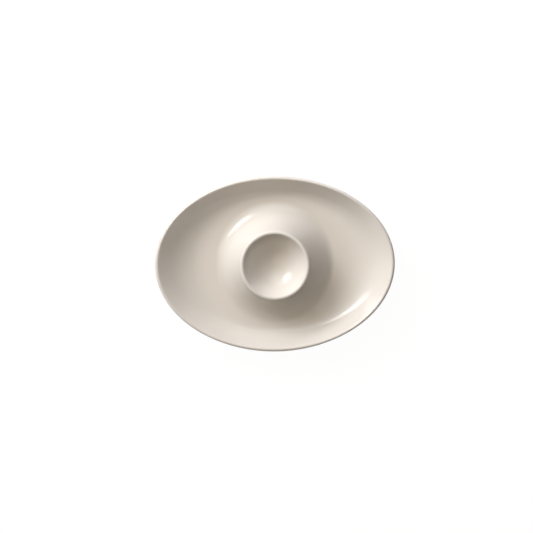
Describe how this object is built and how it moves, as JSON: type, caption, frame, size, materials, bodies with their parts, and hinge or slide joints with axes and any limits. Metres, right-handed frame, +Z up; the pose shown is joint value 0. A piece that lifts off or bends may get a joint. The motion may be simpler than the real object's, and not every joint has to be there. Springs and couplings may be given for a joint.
{
  "type": "egg cup",
  "caption": "Oval glazed porcelain egg dish: a round egg cup rises from the middle of an oval trough for shells, on a low foot ring.",
  "frame": {"origin": "on the table, under the middle of the dish and of the cup", "axes": "+X along the dish's length, +Y across it, +Z up out of the cup"},
  "size_m": [0.16, 0.1176, 0.0292],
  "materials": {
    "glaze": "glossy ivory glaze over porcelain",
    "foot": "glazed sides, bare fired porcelain on the tread",
    "slip": "matte fired slip"
  },
  "bodies": {
    "root": {"oval_dish": "glaze", "egg_cup": "glaze", "foot_ring": "foot", "cup_luting_seam": "slip", "foot_luting_seam": "slip"}
  },
  "joints": []
}
